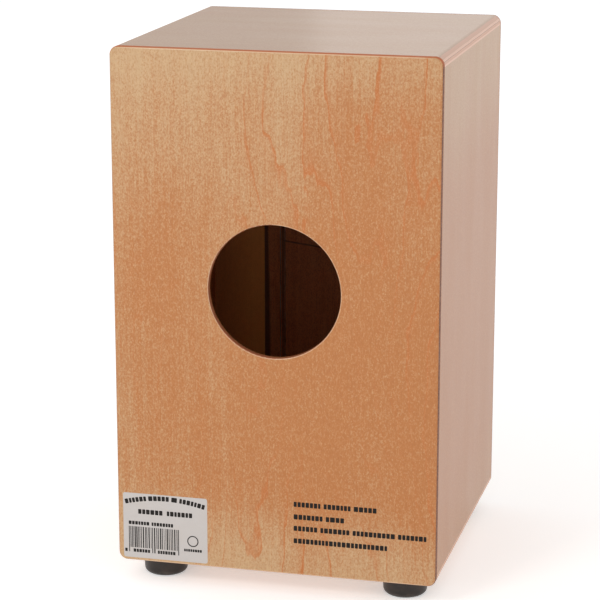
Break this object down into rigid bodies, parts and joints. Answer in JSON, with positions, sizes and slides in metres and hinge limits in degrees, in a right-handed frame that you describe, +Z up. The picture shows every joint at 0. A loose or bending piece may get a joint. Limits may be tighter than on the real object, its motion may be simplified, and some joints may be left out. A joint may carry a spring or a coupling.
{
  "type": "cajon",
  "caption": "Seat-sized plywood box drum with a thin screwed-on playing surface, a round sound hole in the rear panel, rubber feet and tunable snare strings inside.",
  "frame": {"origin": "on the floor under the middle of the box", "axes": "+Z up, -Y out of the playing surface, +Y out of the rear panel with the sound hole, +X to the right of someone facing the playing surface"},
  "size_m": [0.3, 0.3001, 0.5],
  "materials": {
    "seat_birch": "satin",
    "side_birch": "satin",
    "rear_birch": "satin",
    "tapa_birch": "satin",
    "inner_timber": "matte",
    "foot_rubber": "matte",
    "zinc_steel": "satin",
    "black_steel": "satin",
    "string_steel": "polished",
    "turned_brass": "polished",
    "label_paper": "satin",
    "print_ink": "matte"
  },
  "bodies": {
    "box": {"top_panel": "seat_birch", "bottom_panel": "seat_birch", "left_side_panel": "side_birch", "right_side_panel": "side_birch", "rear_panel": "rear_birch", "front_tapa": "tapa_birch", "tapa_screws": "zinc_steel", "corner_batten_top_left": "inner_timber", "corner_batten_top_right": "inner_timber", "corner_batten_bottom_left": "inner_timber", "corner_batten_bottom_right": "inner_timber", "foot_front_left": "foot_rubber", "foot_front_right": "foot_rubber", "foot_rear_left": "foot_rubber", "foot_rear_right": "foot_rubber", "foot_washers": "zinc_steel", "foot_screws": "zinc_steel", "string_anchor_bar": "inner_timber", "string_anchor_plate_left": "zinc_steel", "string_anchor_plate_right": "zinc_steel", "anchor_plate_screws": "zinc_steel", "string_ball_ends": "turned_brass", "snare_string_left_inner": "string_steel", "snare_string_left_outer": "string_steel", "snare_string_right_inner": "string_steel", "snare_string_right_outer": "string_steel", "string_tuning_bar": "inner_timber", "tension_screw_washers": "zinc_steel", "product_label": "label_paper"},
    "carrier_left": {"string_carrier_left": "zinc_steel", "string_ferrules_left": "turned_brass"},
    "carrier_right": {"string_carrier_right": "zinc_steel", "string_ferrules_right": "turned_brass"},
    "screw_left": {"tension_screw_left": "black_steel"},
    "screw_right": {"tension_screw_right": "black_steel"}
  },
  "joints": [
    {"name": "tension_screw_left_turn", "type": "hinge", "parent": "box", "child": "screw_left", "pos_m": [-0.069, -0.1375, 0.026], "axis": [0, 0, 1], "range_deg": [-900, 1800]},
    {"name": "string_carrier_left_slide", "type": "slide", "parent": "box", "child": "carrier_left", "axis": [0, 0, -1], "range_m": [-0.002, 0.004], "deforming": ["snare_string_left_inner", "snare_string_left_outer"]},
    {"name": "tension_screw_right_turn", "type": "hinge", "parent": "box", "child": "screw_right", "pos_m": [0.069, -0.1375, 0.026], "axis": [0, 0, 1], "range_deg": [-900, 1800]},
    {"name": "string_carrier_right_slide", "type": "slide", "parent": "box", "child": "carrier_right", "axis": [0, 0, -1], "range_m": [-0.002, 0.004], "deforming": ["snare_string_right_inner", "snare_string_right_outer"]}
  ],
  "couplings": [
    {"joint": "tension_screw_left_turn", "follows": "string_carrier_left_slide", "rad_per_m": 7854},
    {"joint": "tension_screw_right_turn", "follows": "string_carrier_right_slide", "rad_per_m": 7854}
  ]
}
